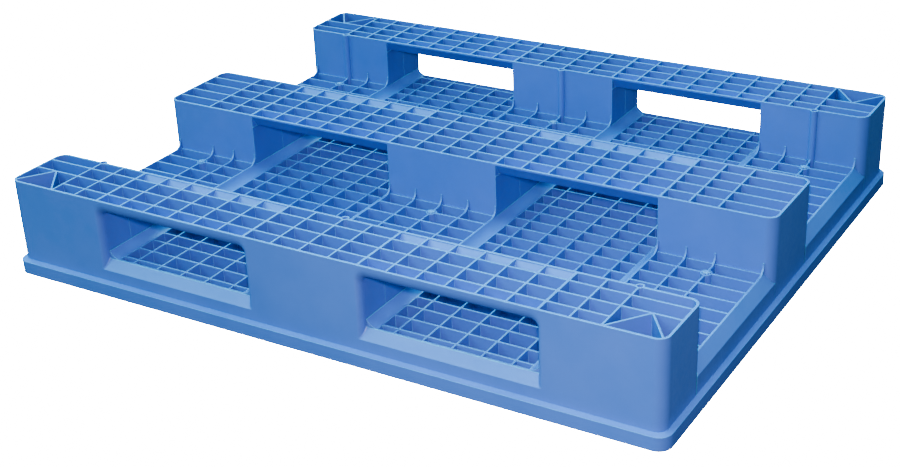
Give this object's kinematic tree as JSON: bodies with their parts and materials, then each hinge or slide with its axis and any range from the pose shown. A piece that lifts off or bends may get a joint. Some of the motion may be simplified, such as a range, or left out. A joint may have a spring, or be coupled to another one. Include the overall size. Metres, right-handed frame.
{
  "type": "plastic pallet",
  "caption": "Rectangular plastic pallet with three ribbed runners, shown standing on its load face with the runner feet up.",
  "frame": {"origin": "centre of the load face, which lies on the floor in this pose", "axes": "+X along the runners, +Y from the front runner to the rear runner, +Z from the load face up to the runner feet; the pallet is stored upside down, as it is pictured"},
  "size_m": [1.2, 1, 0.17],
  "materials": {
    "blue_polyethylene": "satin moulded surface with a fine grain",
    "rivet_plastic": "satin",
    "galvanised_steel": "galvanised",
    "grey_rubber": "matt"
  },
  "bodies": {
    "root": {"load_deck_tray": "blue_polyethylene", "deck_rib_grid": "blue_polyethylene", "front_runner": "blue_polyethylene", "middle_runner": "blue_polyethylene", "rear_runner": "blue_polyethylene", "steel_tube_front": "galvanised_steel", "steel_tube_front_channel": "galvanised_steel", "steel_tube_middle": "galvanised_steel", "steel_tube_rear_channel": "galvanised_steel", "steel_tube_rear": "galvanised_steel", "deck_rivets": "rivet_plastic", "front_runner_lock_pins": "rivet_plastic", "rear_runner_lock_pins": "rivet_plastic", "rubber_pad_front_left": "grey_rubber", "rubber_pad_front_right": "grey_rubber", "rubber_pad_front_inner_left": "grey_rubber", "rubber_pad_front_inner_right": "grey_rubber", "rubber_pad_rear_inner_left": "grey_rubber", "rubber_pad_rear_inner_right": "grey_rubber", "rubber_pad_rear_left": "grey_rubber", "rubber_pad_rear_right": "grey_rubber"}
  },
  "joints": []
}
